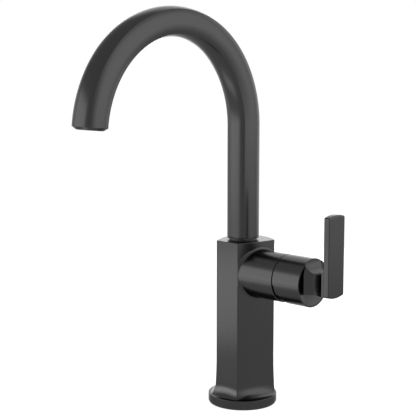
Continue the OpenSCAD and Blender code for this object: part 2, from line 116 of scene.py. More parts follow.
class SpoutSizes(bpy.types.PropertyGroup):
    """Gooseneck, its ring and its tip"""
    corner: length("Corner", "Distance from the middle of the tube to a corner", 13.06)
    side: length("Side", "Distance from the middle of the tube to the middle of a side", 11.7)
    edge: length("Edge radius", "Radius of the tube's four long edges", 1.0)
    bore: length("Bore", "Radius of the tube's bore", 9.9)
    foot: length("Foot", "Height of the lower end of the tube", 140.2)
    spring: length("Spring", "Height at which the neck starts to bend", 231)
    bend: length("Bend radius", "Radius of the bend to the middle of the tube", 83.2)
    bevel: length("Tip bevel", "How far the end of the spout is drawn in", 2.2)
    turn: bpy.props.FloatProperty(name="Turn", description="Angle that the bend turns through",
                                  default=math.radians(174), subtype="ANGLE")


class HandleSizes(bpy.types.PropertyGroup):
    """Hub, neck and blade of the lever"""
    height: length("Axis height", "Height of the handle's axis", 111.2)
    radius: length("Hub radius", "Radius of the turning hub", 19.5)
    start: length("Hub start", "Distance from the spout's axis to the hub", 47)
    end: length("Hub end", "Distance from the spout's axis to the rim of the hub", 73.5)
    dish: length("Dish", "Depth of the hollow in the hub's end", 3)
    dish_radius: length("Dish radius", "Radius of the hollow in the hub's end", 18.7)
    blade: length("Blade", "Distance from the spout's axis to the blade", 90)
    thick: length("Thickness", "Thickness of the blade", 5.6)
    wide: length("Width", "Width of the blade", 19.7)
    low: length("Low end", "Height of the blade's lower end over the axis", -9.1)
    high: length("High end", "Height of the blade's upper end over the axis", 56.3)


class Finishes(bpy.types.PropertyGroup):
    """Colours of the finishes"""
    satin: colour("Satin black", "Dark metal coating", (0.035, 0.035, 0.0355))
    brass: colour("Brass", "Machined brass", (0.78, 0.56, 0.25))
    copper: colour("Copper", "Drawn copper", (0.83, 0.45, 0.3))
    steel: colour("Steel", "Stainless steel", (0.58, 0.58, 0.59))
    rubber: colour("Rubber", "Black rubber", (0.012, 0.012, 0.012))
    floor: colour("Floor", "Pale studio floor", (0.9, 0.9, 0.9))


# ---- Materials ----

def finish(name, base, metallic, rough, grain=0.0, scale=900.0, bump=0.0, stretch=(1, 1, 1), edge=1.0):
    """A surface whose gloss varies a little with a fine grain. Edge dims what it mirrors at a slant."""
    mat = bpy.data.materials.new("finish_" + name)
    mat.use_nodes = True
    mat.diffuse_color = (*base, 1)
    nodes, links = mat.node_tree.nodes, mat.node_tree.links
    shader = nodes["Principled BSDF"]
    shader.inputs["Base Color"].default_value = (*base, 1)
    shader.inputs["Metallic"].default_value = metallic
    shader.inputs["Roughness"].default_value = rough
    shader.inputs["Specular Tint"].default_value = (*[edge] * 3, 1)
    place = nodes.new("ShaderNodeTexCoord")
    turn = nodes.new("ShaderNodeMapping")
    turn.inputs["Scale"].default_value = stretch
    links.new(place.outputs["Object"], turn.inputs["Vector"])
    if grain:
        noise = nodes.new("ShaderNodeTexNoise")
        noise.inputs["Scale"].default_value = scale
        noise.inputs["Detail"].default_value = 3
        links.new(turn.outputs["Vector"], noise.inputs["Vector"])
        spread = nodes.new("ShaderNodeMapRange")
        spread.inputs["To Min"].default_value = rough - grain
        spread.inputs["To Max"].default_value = rough + grain
        links.new(noise.outputs["Fac"], spread.inputs["Value"])
        links.new(spread.outputs["Result"], shader.inputs["Roughness"])
        if bump:
            relief = nodes.new("ShaderNodeBump")
            relief.inputs["Strength"].default_value = 1
            relief.inputs["Distance"].default_value = bump
            links.new(noise.outputs["Fac"], relief.inputs["Height"])
            links.new(relief.outputs["Normal"], shader.inputs["Normal"])
    return mat


def make_finishes():
    """All the finishes by the name of their slot."""
    tones = bpy.context.scene.faucet_finishes
    return {
        "satin_black": finish("satin_black", tones.satin, 1, 0.26, 0.02, 2600, 0.000001, edge=0.6),
        "brass": finish("brass", tones.brass, 1, 0.32, 0.08, 500, 0.000008, (1, 1, 8)),
        "copper": finish("copper", tones.copper, 1, 0.3, 0.08, 400, 0.000008, (8, 8, 1)),
        "steel": finish("steel", tones.steel, 1, 0.28, 0.06, 1200, 0.000004),
        "ceramic": finish("ceramic", (0.9, 0.89, 0.85), 0, 0.12, 0.03, 3000),
        "black_rubber": finish("black_rubber", tones.rubber, 0, 0.62, 0.08, 1500, 0.00001),
        "glide_plastic": finish("glide_plastic", tones.rubber, 0, 0.45, 0.06, 1500, 0.000005),
        "white_plastic": finish("white_plastic", (0.8, 0.8, 0.78), 0, 0.42, 0.05, 1800, 0.000005),
        "grey_plastic": finish("grey_plastic", (0.36, 0.37, 0.39), 0, 0.42, 0.05, 1800, 0.000005),
        "black_plastic": finish("black_plastic", (0.02, 0.02, 0.02), 0, 0.38, 0.05, 1800, 0.000005),
    }


def material(name):
    """The finish of a slot, once it is made."""
    return bpy.data.materials["finish_" + name]


# ---- Modelling helpers ----

def at(x, y, z=0.0):
    """A point or a direction."""
    return Vector((x, y, z))


def quarter(steps):
    """Angles from 0 to a quarter turn."""
    return [math.pi / 2 * k / steps for k in range(steps + 1)]


def rounded(edge, steps):
    """Distances from the two faces beside a rounded edge, from its one end to the other."""
    return [(edge * (1 - math.sin(a)), edge * (1 - math.cos(a))) for a in quarter(steps)]


def turn_between(a, b):
    """Angle from a to b seen from above, anticlockwise, up to half a turn either way."""
    return math.atan2(a.x * b.y - a.y * b.x, a.x * b.x + a.y * b.y)


def arc(bm, vert, centre, angle, steps, axis=UP):
    """Draws an arc from a vertex round a centre, and returns the last vertex."""
    made = bmesh.ops.spin(bm, geom=[vert], cent=centre, axis=axis, angle=angle, steps=steps,
                          use_duplicate=False)
    return next(g for g in made["geom_last"] if isinstance(g, bmesh.types.BMVert))


def close_loop(bm, old=()):
    """Merges the ends of an outline, and returns the edges that are not in an older one."""
    old = set(old)
    fresh = [v for v in bm.verts if not any(e in old for e in v.link_edges)]
    bmesh.ops.remove_doubles(bm, verts=fresh, dist=1e-7)
    return [e for e in bm.edges if e not in old]


def hoop(bm, loop, rings):
    """Draws an outline through rings of a height and a reach. The last ring is the outline's own."""
    for z, reach in rings:
        made = bmesh.ops.extrude_edge_only(bm, edges=loop)
        verts = {g for g in made["geom"] if isinstance(g, bmesh.types.BMVert)}
        loop = [g for g in made["geom"] if isinstance(g, bmesh.types.BMEdge) and verts.issuperset(g.verts)]
        for v in verts:
            flat = v.co.xy.normalized()
            v.co = at(*(flat * (reach(flat) if callable(reach) else reach)), z)
    bmesh.ops.remove_doubles(bm, verts=bm.verts[:], dist=1e-6)


def fill(bm, edges):
    """Closes an outline with a face and returns the face."""
    return bmesh.ops.contextual_create(bm, geom=edges)["faces"][0]


def lathe(bm, profile, axis, merge=1e-7, rows=None):
    """Turns a closed profile round an axis. Rows is a layer that keeps each point's place in it."""
    verts = [bm.verts.new(p) for p in profile]
    edges = [bm.edges.new(pair) for pair in zip(verts, verts[1:] + verts[:1])]
    if rows is not None:
        for place, v in enumerate(verts):
            v[rows] = place
    bmesh.ops.spin(bm, geom=verts + edges, cent=at(0, 0), axis=axis, angle=2 * math.pi,
                   steps=ROUND_STEPS, use_merge=True, use_duplicate=False)
    bmesh.ops.remove_doubles(bm, verts=bm.verts[:], dist=merge)


def pull(bm, face, shift):
    """Extrudes a face by a vector and returns the new end face."""
    made = bmesh.ops.extrude_face_region(bm, geom=[face])
    end = next(g for g in made["geom"] if isinstance(g, bmesh.types.BMFace))
    bmesh.ops.translate(bm, vec=shift, verts=end.verts[:])
    if face.is_valid and len(face.edges[0].link_faces) > 2:
        bmesh.ops.delete(bm, geom=[face], context="FACES_ONLY")
    return end


def face_outward(bm):
    """Turns all the faces of a closed shape outwards."""
    bmesh.ops.recalc_face_normals(bm, faces=bm.faces[:])
    if bm.calc_volume(signed=True) < 0:
        bmesh.ops.reverse_faces(bm, faces=bm.faces[:])


def new_object(bm, name):
    """Turns a bmesh into an object of the scene."""
    mesh = bpy.data.meshes.new(name)
    bm.to_mesh(mesh)
    bm.free()
    made = bpy.data.objects.new(name, mesh)
    bpy.context.scene.collection.objects.link(made)
    return made


def finish_piece(bm, name, body, nodes, slot, sharp=35.0):
    """Turns a bmesh into a piece that stands for solids and rides on a body."""
    face_outward(bm)
    piece = new_object(bm, name)
    piece.data.shade_smooth()
    piece.data.set_sharp_from_angle(angle=math.radians(sharp))
    piece.data.materials.append(material(slot))
    even = piece.modifiers.new("even shading", "WEIGHTED_NORMAL")
    even.keep_sharp = True
    even.weight = 50
    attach(piece, body)
    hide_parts(*nodes)
    return piece


# ---- Section of the spout ----

def soft_section(corner, side, edge):
    """A corner's centre on both axes, how far behind the middle a side's centre lies, and the
    angle of half a side."""
    q = (corner - edge) / math.sqrt(2)
    c = (2 * q * q - (side - edge) ** 2) / (2 * (side - edge - q))
    return q, c, math.atan2(q, q + c)


def soft_square(bm, corner, side, edge, z=0.0):
    """Outline of the spout: four bowed sides and four small round corners."""
    old = bm.edges[:]
    q, c, lean = soft_section(corner, side, edge)
    vert = bm.verts.new(at(-c + (c + side) * math.cos(-lean), (c + side) * math.sin(-lean), z))
    for k in range(4):
        turn = Matrix.Rotation(k * math.pi / 2, 3, "Z")
        vert = arc(bm, vert, turn @ at(-c, 0, z), 2 * lean, SIDE_STEPS)
        vert = arc(bm, vert, turn @ at(q, q, z), math.pi / 2 - 2 * lean, CORNER_STEPS)
    return close_loop(bm, old)


def soft_reach(sizes, inset, diagonal=1.0):
    """Distance from the middle to the spout's outline, drawn in by an inset, in any direction."""
    corner, side = sizes.corner - inset * diagonal, sizes.side - inset
    q, c, lean = soft_section(corner, side, sizes.edge)
    big = c + side
    limit = math.atan2(big * math.sin(lean), big * math.cos(lean) - c)

    def reach(flat):
        a = math.atan2(flat.y, flat.x) % (math.pi / 2)
        a = min(a, math.pi / 2 - a)
        if a <= limit:
            return -c * math.cos(a) + math.sqrt(big * big - (c * math.sin(a)) ** 2)
        far, off = math.sqrt(2) * q, math.pi / 4 - a
        return far * math.cos(off) + math.sqrt(max(sizes.edge ** 2 - (far * math.sin(off)) ** 2, 0))

    return reach


# ---- Section of the body ----

class BodySection:
    """Plan of the body: four bowed faces in the order front, right, back and left."""
    # Where the faces would meet without a rounded edge.
    corners = [Vector((-11.6, -19.8)) * MM, Vector((11.6, -19.8)) * MM,
               Vector((21.4, 14.65)) * MM, Vector((-21.4, 14.65)) * MM]
    # How far each face bows out between its corners.
    rises = [0.2 * MM, 1.5 * MM, 7.7 * MM, 1.5 * MM]
    steps = [10, 18, 26, 18]

    def __init__(self, edge):
        self.edge = edge
        self.faces = []
        for i, rise in enumerate(self.rises):
            a, b = self.corners[i], self.corners[(i + 1) % 4]
            chord = b - a
            radius = (chord.length ** 2 / 4 + rise ** 2) / (2 * rise)
            inward = Vector((-chord.y, chord.x)).normalized()
            self.faces.append(((a + b) / 2 + inward * (radius - rise), radius))

    def edge_centre(self, i):
        """Centre of the rounded edge between a face and the next one."""
        (a, ra), (b, rb) = self.faces[i], self.faces[(i + 1) % 4]
        p, q = ra - self.edge, rb - self.edge
        line = b - a
        d = line.length
        along = (p * p - q * q + d * d) / (2 * d)
        across = Vector((-line.y, line.x)).normalized() * math.sqrt(p * p - along * along)
        corner = self.corners[(i + 1) % 4]
        foot = a + line / d * along
        return min((foot + across, foot - across), key=lambda c: (c - corner).length)

    def draw(self, bm, z):
        """Draws the plan at a height and returns its edges."""
        full = 2 * math.pi
        centre = self.edge_centre(3)
        start = self.faces[0][0] + (centre - self.faces[0][0]).normalized() * self.faces[0][1]
        vert = bm.verts.new(at(start.x, start.y, z))
        for i in range(4):
            face = self.faces[i][0]
            first, last = self.edge_centre((i + 3) % 4), self.edge_centre(i)
            swing = turn_between(first - face, last - face) % full
            vert = arc(bm, vert, at(face.x, face.y, z), swing, self.steps[i])
            after = self.faces[(i + 1) % 4][0]
            swing = turn_between(last - face, last - after) % full
            vert = arc(bm, vert, at(last.x, last.y, z), swing, CORNER_STEPS)
        return close_loop(bm)

    def side_x(self, y):
        """Distance from the spout's axis to the right face, at a place from front to back."""
        c, r = self.faces[1]
        return c.x + math.sqrt(r * r - (y - c.y) ** 2)

    def back_x(self, y):
        """Half of the width between the ends of the bowed back face, at such a place."""
        c, r = self.faces[2]
        return math.sqrt(max(r * r - (y - c.y) ** 2, 0))


# ---- Operators ----

class FaucetOperator:
    """What all the steps share"""
    bl_options = {"REGISTER", "UNDO"}


class FAUCET_OT_finishes(FaucetOperator, bpy.types.Operator):
    """Give the solids that stay in view their real finishes"""
    bl_idname = "faucet.finishes"
    bl_label = "Finishes"

    def execute(self, context):
        made = make_finishes()
        for part in frame["record"]["subparts"]:
            node = frame["nodes"][part["node"]]
            node.data.materials.clear()
            node.data.materials.append(made[part["material_slot"]])
        return {"FINISHED"}


class FAUCET_OT_gasket(FaucetOperator, bpy.types.Operator):
    """Model the rubber gasket under the foot"""
    bl_idname = "faucet.gasket"
    bl_label = "Gasket"

    def execute(self, context):
        sizes = context.scene.faucet_body
        inset, hole, bevel = 0.7 * MM, 17.4 * MM, 0.2 * MM
        outer, high = sizes.foot_radius - inset, sizes.gasket
        bm = bmesh.new()
        profile = [(hole, 0), (outer - bevel, 0), (outer, bevel), (outer, high), (hole, high)]
        lathe(bm, [at(r, 0, z) for r, z in profile], UP)
        finish_piece(bm, "foot_gasket", "faucet_body", ["base_gasket"], "black_rubber")
        return {"FINISHED"}


class FAUCET_OT_body(FaucetOperator, bpy.types.Operator):
    """Model the upright body with its flared foot"""
    bl_idname = "faucet.body"
    bl_label = "Body"

    def execute(self, context):
        sizes = context.scene.faucet_body
        cove, rim = sizes.cove_top, rounded(RIM_EDGE, RIM_STEPS)
        bm = bmesh.new()
        face = fill(bm, BodySection(sizes.edge).draw(bm, 0))
        shape = [v.co.copy() for v in face.verts]

        def to_plan(face, z, spread, roundness):
            """Lays an outline on the plan, spread and made round like the foot by a share."""
            for v in face.verts:
                p = min(shape, key=lambda s: abs(turn_between(s, v.co)))
                flat = Vector((p.x, p.y))
                r = flat.length + spread
                r += (sizes.foot_radius - RIM_EDGE - r) * roundness
                v.co = at(*(flat.normalized() * r), z)

        def to_circle(face, z, r):
            """Lays an outline on a circle."""
            for v in face.verts:
                v.co = at(*(Vector((v.co.x, v.co.y)).normalized() * r), z)

        to_circle(face, sizes.gasket, sizes.foot_radius - RIM_EDGE)
        rings = [(to_circle, sizes.gasket + b, sizes.foot_radius - a) for a, b in rim[1:]]
        rings += [(to_circle, sizes.foot_rim - a, sizes.foot_radius - b) for a, b in rim[:-1]]
        rings += [(to_plan, cove - (cove - sizes.foot_rim) * math.sin(a), sizes.taper, 1 - math.cos(a))
                  for a in quarter(COVE_STEPS)[:0:-1]]
        rings += [(to_plan, cove + (sizes.taper_top - cove) * t, sizes.taper * (1 - t) ** 2, 0)
                  for t in (k / TAPER_STEPS for k in range(TAPER_STEPS + 1))]
        rings += [(to_plan, sizes.top - a, -b, 0) for a, b in rounded(TOP_EDGE, SOFT_STEPS)]
        for lay, *place in rings:
            face = pull(bm, face, at(0, 0, 0))
            lay(face, *place)
        finish_piece(bm, "body_upright", "faucet_body", ["body_shell"], "satin_black")
        return {"FINISHED"}


class FAUCET_OT_collar(FaucetOperator, bpy.types.Operator):
    """Model the fixed collar and the fillet that blends it into the body"""
    bl_idname = "faucet.collar"
    bl_label = "Collar"

    def execute(self, context):
        sizes = context.scene.faucet_body
        handle = context.scene.faucet_handle
        section = BodySection(sizes.edge)
        radius, end, big = sizes.collar_radius, sizes.collar_end, sizes.fillet
        mouth, bore, step = COLLAR["mouth"], COLLAR["bore"], end - COLLAR["depth"]
        # The first row lies in the body and the second at its wall, both at the start of the fillet.
        turns = [0, *quarter(FILLET_STEPS)]
        profile = [(COLLAR["foot"] + ROW_GAP * row, radius + big * (1 - math.sin(a)))
                   for row, a in enumerate(turns)]
        profile += [(end - a, radius - b) for a, b in rounded(HUB_EDGE, SOFT_STEPS)]
        profile += [(end, mouth), (step, mouth), (step, bore), (COLLAR["root"], bore)]
        bm = bmesh.new()
        part = bm.verts.layers.float.new("part")
        lathe(bm, [at(x, 0, r) for x, r in profile], at(1, 0), rows=part)
        for v in bm.verts:
            row = round(v[part])
            if row < len(turns):
                around = math.atan2(v.co.z, v.co.y)
                size = fillet_size(around, radius, big)
                r = radius + size * (1 - math.sin(turns[row]))
                lift = size * (1 - math.cos(turns[row])) - WALL_OVERLAP if row else -SUNK
                y = r * math.cos(around)
                v.co = at(wall_x(section, y) + lift, y, r * math.sin(around))
            v.co.z += handle.height
        finish_piece(bm, "handle_collar_blend", "faucet_body", ["handle_collar"], "satin_black")
        return {"FINISHED"}


# The collar: where its profile and its inside start, the radii of its bore and its wider mouth,
# and the depth of the mouth.
COLLAR = {"foot": 20 * MM, "root": 16 * MM, "bore": 17.05 * MM, "mouth": 18.25 * MM, "depth": 2.6 * MM}
ROW_GAP = 0.1 * MM  # keeps the rows of the fillet apart until they are laid on the wall
WALL_OVERLAP = 0.02 * MM  # how far the start of the fillet lies in the wall
SUNK = 1 * MM  # how far the first row lies in the wall
LEAST_FILLET = 0.25 * MM  # what is left of the fillet where it dies out
FRONT_REACH = 19.75 * MM  # how far to the front the fillet may go
BACK_FADE = 12.5 * MM  # how far to the back the fillet keeps its size
BACK_EDGE = 14.05 * MM  # how far to the back the body's right face goes


def fillet_size(around, radius, big):
    """The fillet dies out at the front corner and round the back corner."""
    y = radius * math.cos(around)
    if y < 0:
        return max(LEAST_FILLET, min(big, FRONT_REACH / -math.cos(around) - radius))
    if y < BACK_FADE:
        return big
    return max(LEAST_FILLET, big * (1 - (y - BACK_FADE) / (radius - BACK_FADE)))


def wall_x(section, y):
    """Distance from the spout's axis to the body's wall beside the collar."""
    if y < BACK_EDGE:
        return section.side_x(max(y, section.corners[1].y))
    return min(section.side_x(y), section.back_x(y))


class FAUCET_OT_spout(FaucetOperator, bpy.types.Operator):
    """Model the gooseneck tube"""
    bl_idname = "faucet.spout"
    bl_label = "Spout"

    def execute(self, context):
        sizes = context.scene.faucet_spout
        bm = bmesh.new()
        soft_square(bm, sizes.corner, sizes.side, sizes.edge, sizes.foot)
        start = bm.verts.new(at(sizes.bore, 0, sizes.foot))
        arc(bm, start, at(0, 0, sizes.foot), 2 * math.pi, BORE_STEPS)
        close_loop(bm)
        loops = bm.edges[:]
        bmesh.ops.bridge_loops(bm, edges=loops)
        made = bmesh.ops.extrude_edge_only(bm, edges=loops)
        rise = [g for g in made["geom"] if isinstance(g, bmesh.types.BMVert)]
        bmesh.ops.translate(bm, vec=at(0, 0, sizes.spring - sizes.foot), verts=rise)
        ends = [g for g in made["geom"] if isinstance(g, bmesh.types.BMEdge)
                and all(abs(v.co.z - sizes.spring) < 1e-7 for v in g.verts)]
        spun = bmesh.ops.spin(bm, geom=rise + ends, cent=at(0, -sizes.bend, sizes.spring), axis=at(1, 0),
                              angle=sizes.turn, steps=BEND_STEPS, use_duplicate=False)
        last = [g for g in spun["geom_last"] if isinstance(g, bmesh.types.BMEdge)]
        bmesh.ops.bridge_loops(bm, edges=last)
        finish_piece(bm, "gooseneck", "spout", ["spout_tube"], "satin_black")
        return {"FINISHED"}


class FAUCET_OT_tip(FaucetOperator, bpy.types.Operator):
    """Model the bevelled end of the spout"""
    bl_idname = "faucet.tip"
    bl_label = "Spout tip"

    def execute(self, context):
        sizes = context.scene.faucet_spout
        bm = bmesh.new()
        loop = soft_square(bm, sizes.corner, sizes.side, sizes.edge)
        edge = sizes.bevel / MM
        outside = ((0.15, 0), (0.3, 0.07), (2.15, edge - 0.2), (2.3, edge))
        rings = [(z * MM, soft_reach(sizes, inset * MM, math.sqrt(2))) for z, inset in outside]
        rings += [(z * MM, r * MM) for z, r in TIP_INSIDE]
        hoop(bm, loop, rings + [(0, soft_reach(sizes, 0))])
        bmesh.ops.transform(bm, matrix=bend_matrix(sizes), verts=bm.verts[:])
        finish_piece(bm, "spout_end", "spout", ["spout_tip"], "satin_black", sharp=30)
        return {"FINISHED"}


# The tip's inside in millimetres: how far along the flow, and the radius there. It has a mouth,
# a sleeve that reaches up into the tube, and a shoulder.
TIP_INSIDE = ((2.3, 8.3), (-12, 8.3), (-12, 9.0), (-3, 9.0), (-3, 9.8), (0, 9.8))


def bend_matrix(sizes):
    """From the end of the bend to the tube's path: +Z runs with the flow."""
    axis = at(0, -sizes.bend, sizes.spring)
    return (Matrix.Translation(axis) @ Matrix.Rotation(sizes.turn, 4, "X") @ Matrix.Translation(-axis)
            @ Matrix.Translation(at(0, 0, sizes.spring)))


class FAUCET_OT_neck_ring(FaucetOperator, bpy.types.Operator):
    """Model the thin ring between the body and the spout"""
    bl_idname = "faucet.neck_ring"
    bl_label = "Neck ring"

    def execute(self, context):
        sizes = context.scene.faucet_spout
        body = context.scene.faucet_body
        low = body.top + RING_GAP
        bm = bmesh.new()
        rings = [(low + z * MM, soft_reach(sizes, inset * MM)) for z, inset in RING_OUTSIDE]
        top_inset, foot_inset = RING_OUTSIDE[-1][1] * MM, RING_OUTSIDE[0][1] * MM
        rings += [(sizes.foot, soft_reach(sizes, top_inset)), (sizes.foot, RING_BORE), (low, RING_BORE),
                  rings[0]]
        loop = soft_square(bm, sizes.corner - foot_inset, sizes.side - foot_inset, sizes.edge, low)
        for v in bm.verts:
            flat = v.co.xy.normalized()
            v.co = at(*(flat * rings[0][1](flat)), low)
        hoop(bm, loop, rings[1:])
        finish_piece(bm, "neck_trim", "spout", ["neck_ring"], "satin_black", sharp=40)
        return {"FINISHED"}


RING_GAP = 1.1 * MM  # between the body's top and the ring
RING_BORE = 10 * MM  # its radius
# The ring's outside in millimetres, from below: height, and how far in from the spout's outline.
RING_OUTSIDE = ((0, 0.35), (0.08, 0.17), (0.25, 0.1), (0.6, 0.1), (0.85, 0.18), (1.08, 0.38),
                (1.2, 0.62), (1.2, 0.8))


class FAUCET_OT_hub(FaucetOperator, bpy.types.Operator):
    """Model the turning hub: dished end, waisted neck, hollow on top and relief below"""
    bl_idname = "faucet.hub"
    bl_label = "Hub"

    def execute(self, context):
        sizes = context.scene.faucet_handle
        hub = new_solid(hub_round(sizes), "hub_round")
        neck = new_solid(hub_neck(sizes), "hub_neck")
        limit = rod(NECK_LIMIT, sizes.radius - HUB_GAP, sizes.height)
        combine(neck, new_solid(limit, "limit"), "INTERSECT")
        combine(hub, neck, "UNION")
        combine(hub, new_solid(saddle(sizes), "saddle"), "DIFFERENCE")
        combine(hub, new_solid(relief(sizes), "relief"), "DIFFERENCE")
        hole = rod(STEM_HOLE, STEM_HOLE_RADIUS, sizes.height, STEM_HOLE_STEPS)
        combine(hub, new_solid(hole, "bore"), "DIFFERENCE")
        bm = bmesh.new()
        bm.from_mesh(hub.data)
        bpy.data.objects.remove(hub)
        soften_neck(bm, sizes)
        finish_piece(bm, "hub_shell", "lever", ["handle_hub"], "satin_black", sharp=30)
        return {"FINISHED"}


# The round bar that trims the neck and the hole for the stem: both ends of each along the
# handle's axis, as distances from the spout's axis.
NECK_LIMIT = (55 * MM, 100 * MM)
HUB_GAP = 0.01 * MM  # keeps the trimmed neck off the hub's own surface
STEM_HOLE = (58 * MM, 69.7 * MM)
STEM_HOLE_RADIUS = 6.1 * MM
CAVITY = 18.45 * MM  # radius of the hollow over the dome
CREASE = 0.5  # edges that turn by more than this, in radians, are rounded

# The neck in plan: where it starts and its half width there, how far it runs into the blade,
# and how much lower and wider than the neck the blade is. Then its waist: the place along the
# handle's axis, half of the width left there, and the radius.
NECK = {"first": 69.8 * MM, "half": 10.9 * MM, "into": 0.2 * MM, "over": 1.2 * MM, "inset": 0.9 * MM}
WAIST = {"x": 81 * MM, "half": 6.6 * MM, "r": 11.2 * MM}
# The round cutter over the neck: its place along and above the handle's axis, its radius and
# half of its length.
SADDLE = {"x": 81.9 * MM, "up": 18 * MM, "r": 9.4 * MM, "half": 10.6 * MM}
# The wedge below the hub: its slope in degrees and how far down it goes.
RELIEF = {"slope": 21, "drop": 22 * MM}


def soften_neck(bm, sizes):
    """Rounds the inner corner between the neck and the dish, and the rim of the saddle."""
    bmesh.ops.dissolve_limit(bm, angle_limit=math.radians(0.5), verts=bm.verts[:], edges=bm.edges[:])
    inner = [e for e in bm.edges if in_dish(e, sizes) and e.calc_face_angle_signed(0) < -CREASE]
    soften(bm, inner, size=1.3 * MM, segments=5)
    rim = [e for e in bm.edges if on_neck(e, sizes) and e.calc_face_angle_signed(0) > CREASE]
    soften(bm, rim, size=0.35 * MM, segments=3)


def soften(bm, edges, size, segments):
    """Rounds edges to a size."""
    bmesh.ops.bevel(bm, geom=edges, offset=size, offset_type="OFFSET", segments=segments, profile=0.5,
                    affect="EDGES", clamp_overlap=True, material=-1)


def in_dish(edge, sizes):
    """Whether an edge lies in the hollow of the hub's end, beside the neck."""
    return all(sizes.end - sizes.dish - 0.1 * MM < v.co.x < sizes.end - 0.3 * MM
               and abs(v.co.y) < 11.5 * MM for v in edge.verts)


def on_neck(edge, sizes):
    """Whether an edge lies between the hub's rim and the blade."""
    return all(sizes.end + 0.1 * MM < v.co.x < sizes.blade - 0.5 * MM for v in edge.verts)


def hub_round(sizes):
    """The round shell: softened rims, a dished end and a round hollow over the dome."""
    start, end, radius = sizes.start, sizes.end, sizes.radius
    dish = (sizes.dish_radius ** 2 + sizes.dish ** 2) / (2 * sizes.dish)
    centre = end - sizes.dish + dish
    profile = [(start + b, radius - a) for a, b in rounded(HUB_EDGE, SOFT_STEPS)]
    profile += [(end - a, radius - b) for a, b in rounded(HUB_EDGE, SOFT_STEPS)]
    profile += [(centre - math.sqrt(dish * dish - r * r), r)
                for r in (sizes.dish_radius * (1 - k / DISH_STEPS) for k in range(DISH_STEPS))]
    profile += [(end - sizes.dish, 0)]
    profile += [(start + CAVITY * math.cos(a), CAVITY * math.sin(a)) for a in quarter(CAVITY_STEPS)]
    bm = bmesh.new()
    lathe(bm, [at(x, 0, r) for x, r in profile], at(1, 0), merge=1e-6)
    bmesh.ops.dissolve_degenerate(bm, edges=bm.edges[:], dist=1e-7)
    bmesh.ops.delete(bm, geom=[e for e in bm.edges if not e.link_faces], context="EDGES")
    bmesh.ops.translate(bm, vec=at(0, 0, sizes.height), verts=bm.verts[:])
    return bm


def rod(ends, radius, height, steps=ROUND_STEPS):
    """A plain round bar along the handle's axis."""
    first, last = ends
    bm = bmesh.new()
    start = bm.verts.new(at(first, 0, height + radius))
    arc(bm, start, at(first, 0, height), 2 * math.pi, steps, at(1, 0))
    face = fill(bm, close_loop(bm))
    pull(bm, face, at(last - first, 0))
    return bm


def hub_neck(sizes):
    """The neck in plan: two straight ends and a waist on each side, drawn up from below."""
    first, last = NECK["first"], sizes.blade + NECK["into"]
    low = sizes.height + sizes.low + NECK["over"]
    wide, narrow, reach = NECK["half"], sizes.wide / 2 - NECK["inset"], WAIST["half"] + WAIST["r"]
    start = math.acos((reach - wide) / WAIST["r"])
    end = math.acos((reach - narrow) / WAIST["r"])
    bm = bmesh.new()
    for side in (-1, 1):
        vert = bm.verts.new(at(WAIST["x"] - WAIST["r"] * math.sin(start), side * wide, low))
        arc(bm, vert, at(WAIST["x"], side * reach, low), side * (start + end), WAIST_STEPS)
    rows = sorted(bm.verts, key=lambda v: (v.co.y > 0, v.co.x))
    half = len(rows) // 2
    lower, upper = rows[:half], rows[half:]
    outline = ([bm.verts.new(at(first, -wide, low))] + lower + [bm.verts.new(at(last, -narrow, low))]
               + [bm.verts.new(at(last, narrow, low))] + upper[::-1] + [bm.verts.new(at(first, wide, low))])
    for a, b in zip(outline, outline[1:] + outline[:1]):
        if bm.edges.get((a, b)) is None:
            bm.edges.new((a, b))
    face = fill(bm, bm.edges[:])
    pull(bm, face, at(0, 0, 2 * sizes.radius))
    return bm


def saddle(sizes):
    """The round cutter that hollows the top of the neck, across the handle's axis."""
    bm = bmesh.new()
    centre = at(SADDLE["x"], -SADDLE["half"], sizes.height + SADDLE["up"])
    start = bm.verts.new(centre + at(0, 0, SADDLE["r"]))
    arc(bm, start, centre, 2 * math.pi, SADDLE_STEPS, at(0, 1))
    face = fill(bm, close_loop(bm))
    pull(bm, face, at(0, 2 * SADDLE["half"]))
    return bm


def relief(sizes):
    """The wedge below that lets the hub's lower edge swing in over the dome."""
    slope, drop = math.tan(math.radians(RELIEF["slope"])), RELIEF["drop"]
    bm = bmesh.new()
    x, z = sizes.start, sizes.height
    corners = [(x - MM, z), (x, z), (x + drop * slope, z - drop), (x - MM, z - drop)]
    face = bm.faces.new([bm.verts.new(at(a, -drop, b)) for a, b in corners])
    pull(bm, face, at(0, 2 * drop))
    return bm


def new_solid(bm, name):
    """Turns a closed bmesh into a solid to join or to cut with."""
    face_outward(bm)
    return new_object(bm, name)


def combine(solid, tool, operation):
    """Joins, cuts or trims a solid with another one, which is used up."""
    step = solid.modifiers.new(operation, "BOOLEAN")
    step.solver = "EXACT"
    step.operation = operation
    step.object = tool
    made = solid.evaluated_get(bpy.context.evaluated_depsgraph_get())
    mesh = bpy.data.meshes.new_from_object(made)
    solid.modifiers.clear()
    solid.data = mesh
    bpy.data.objects.remove(tool)


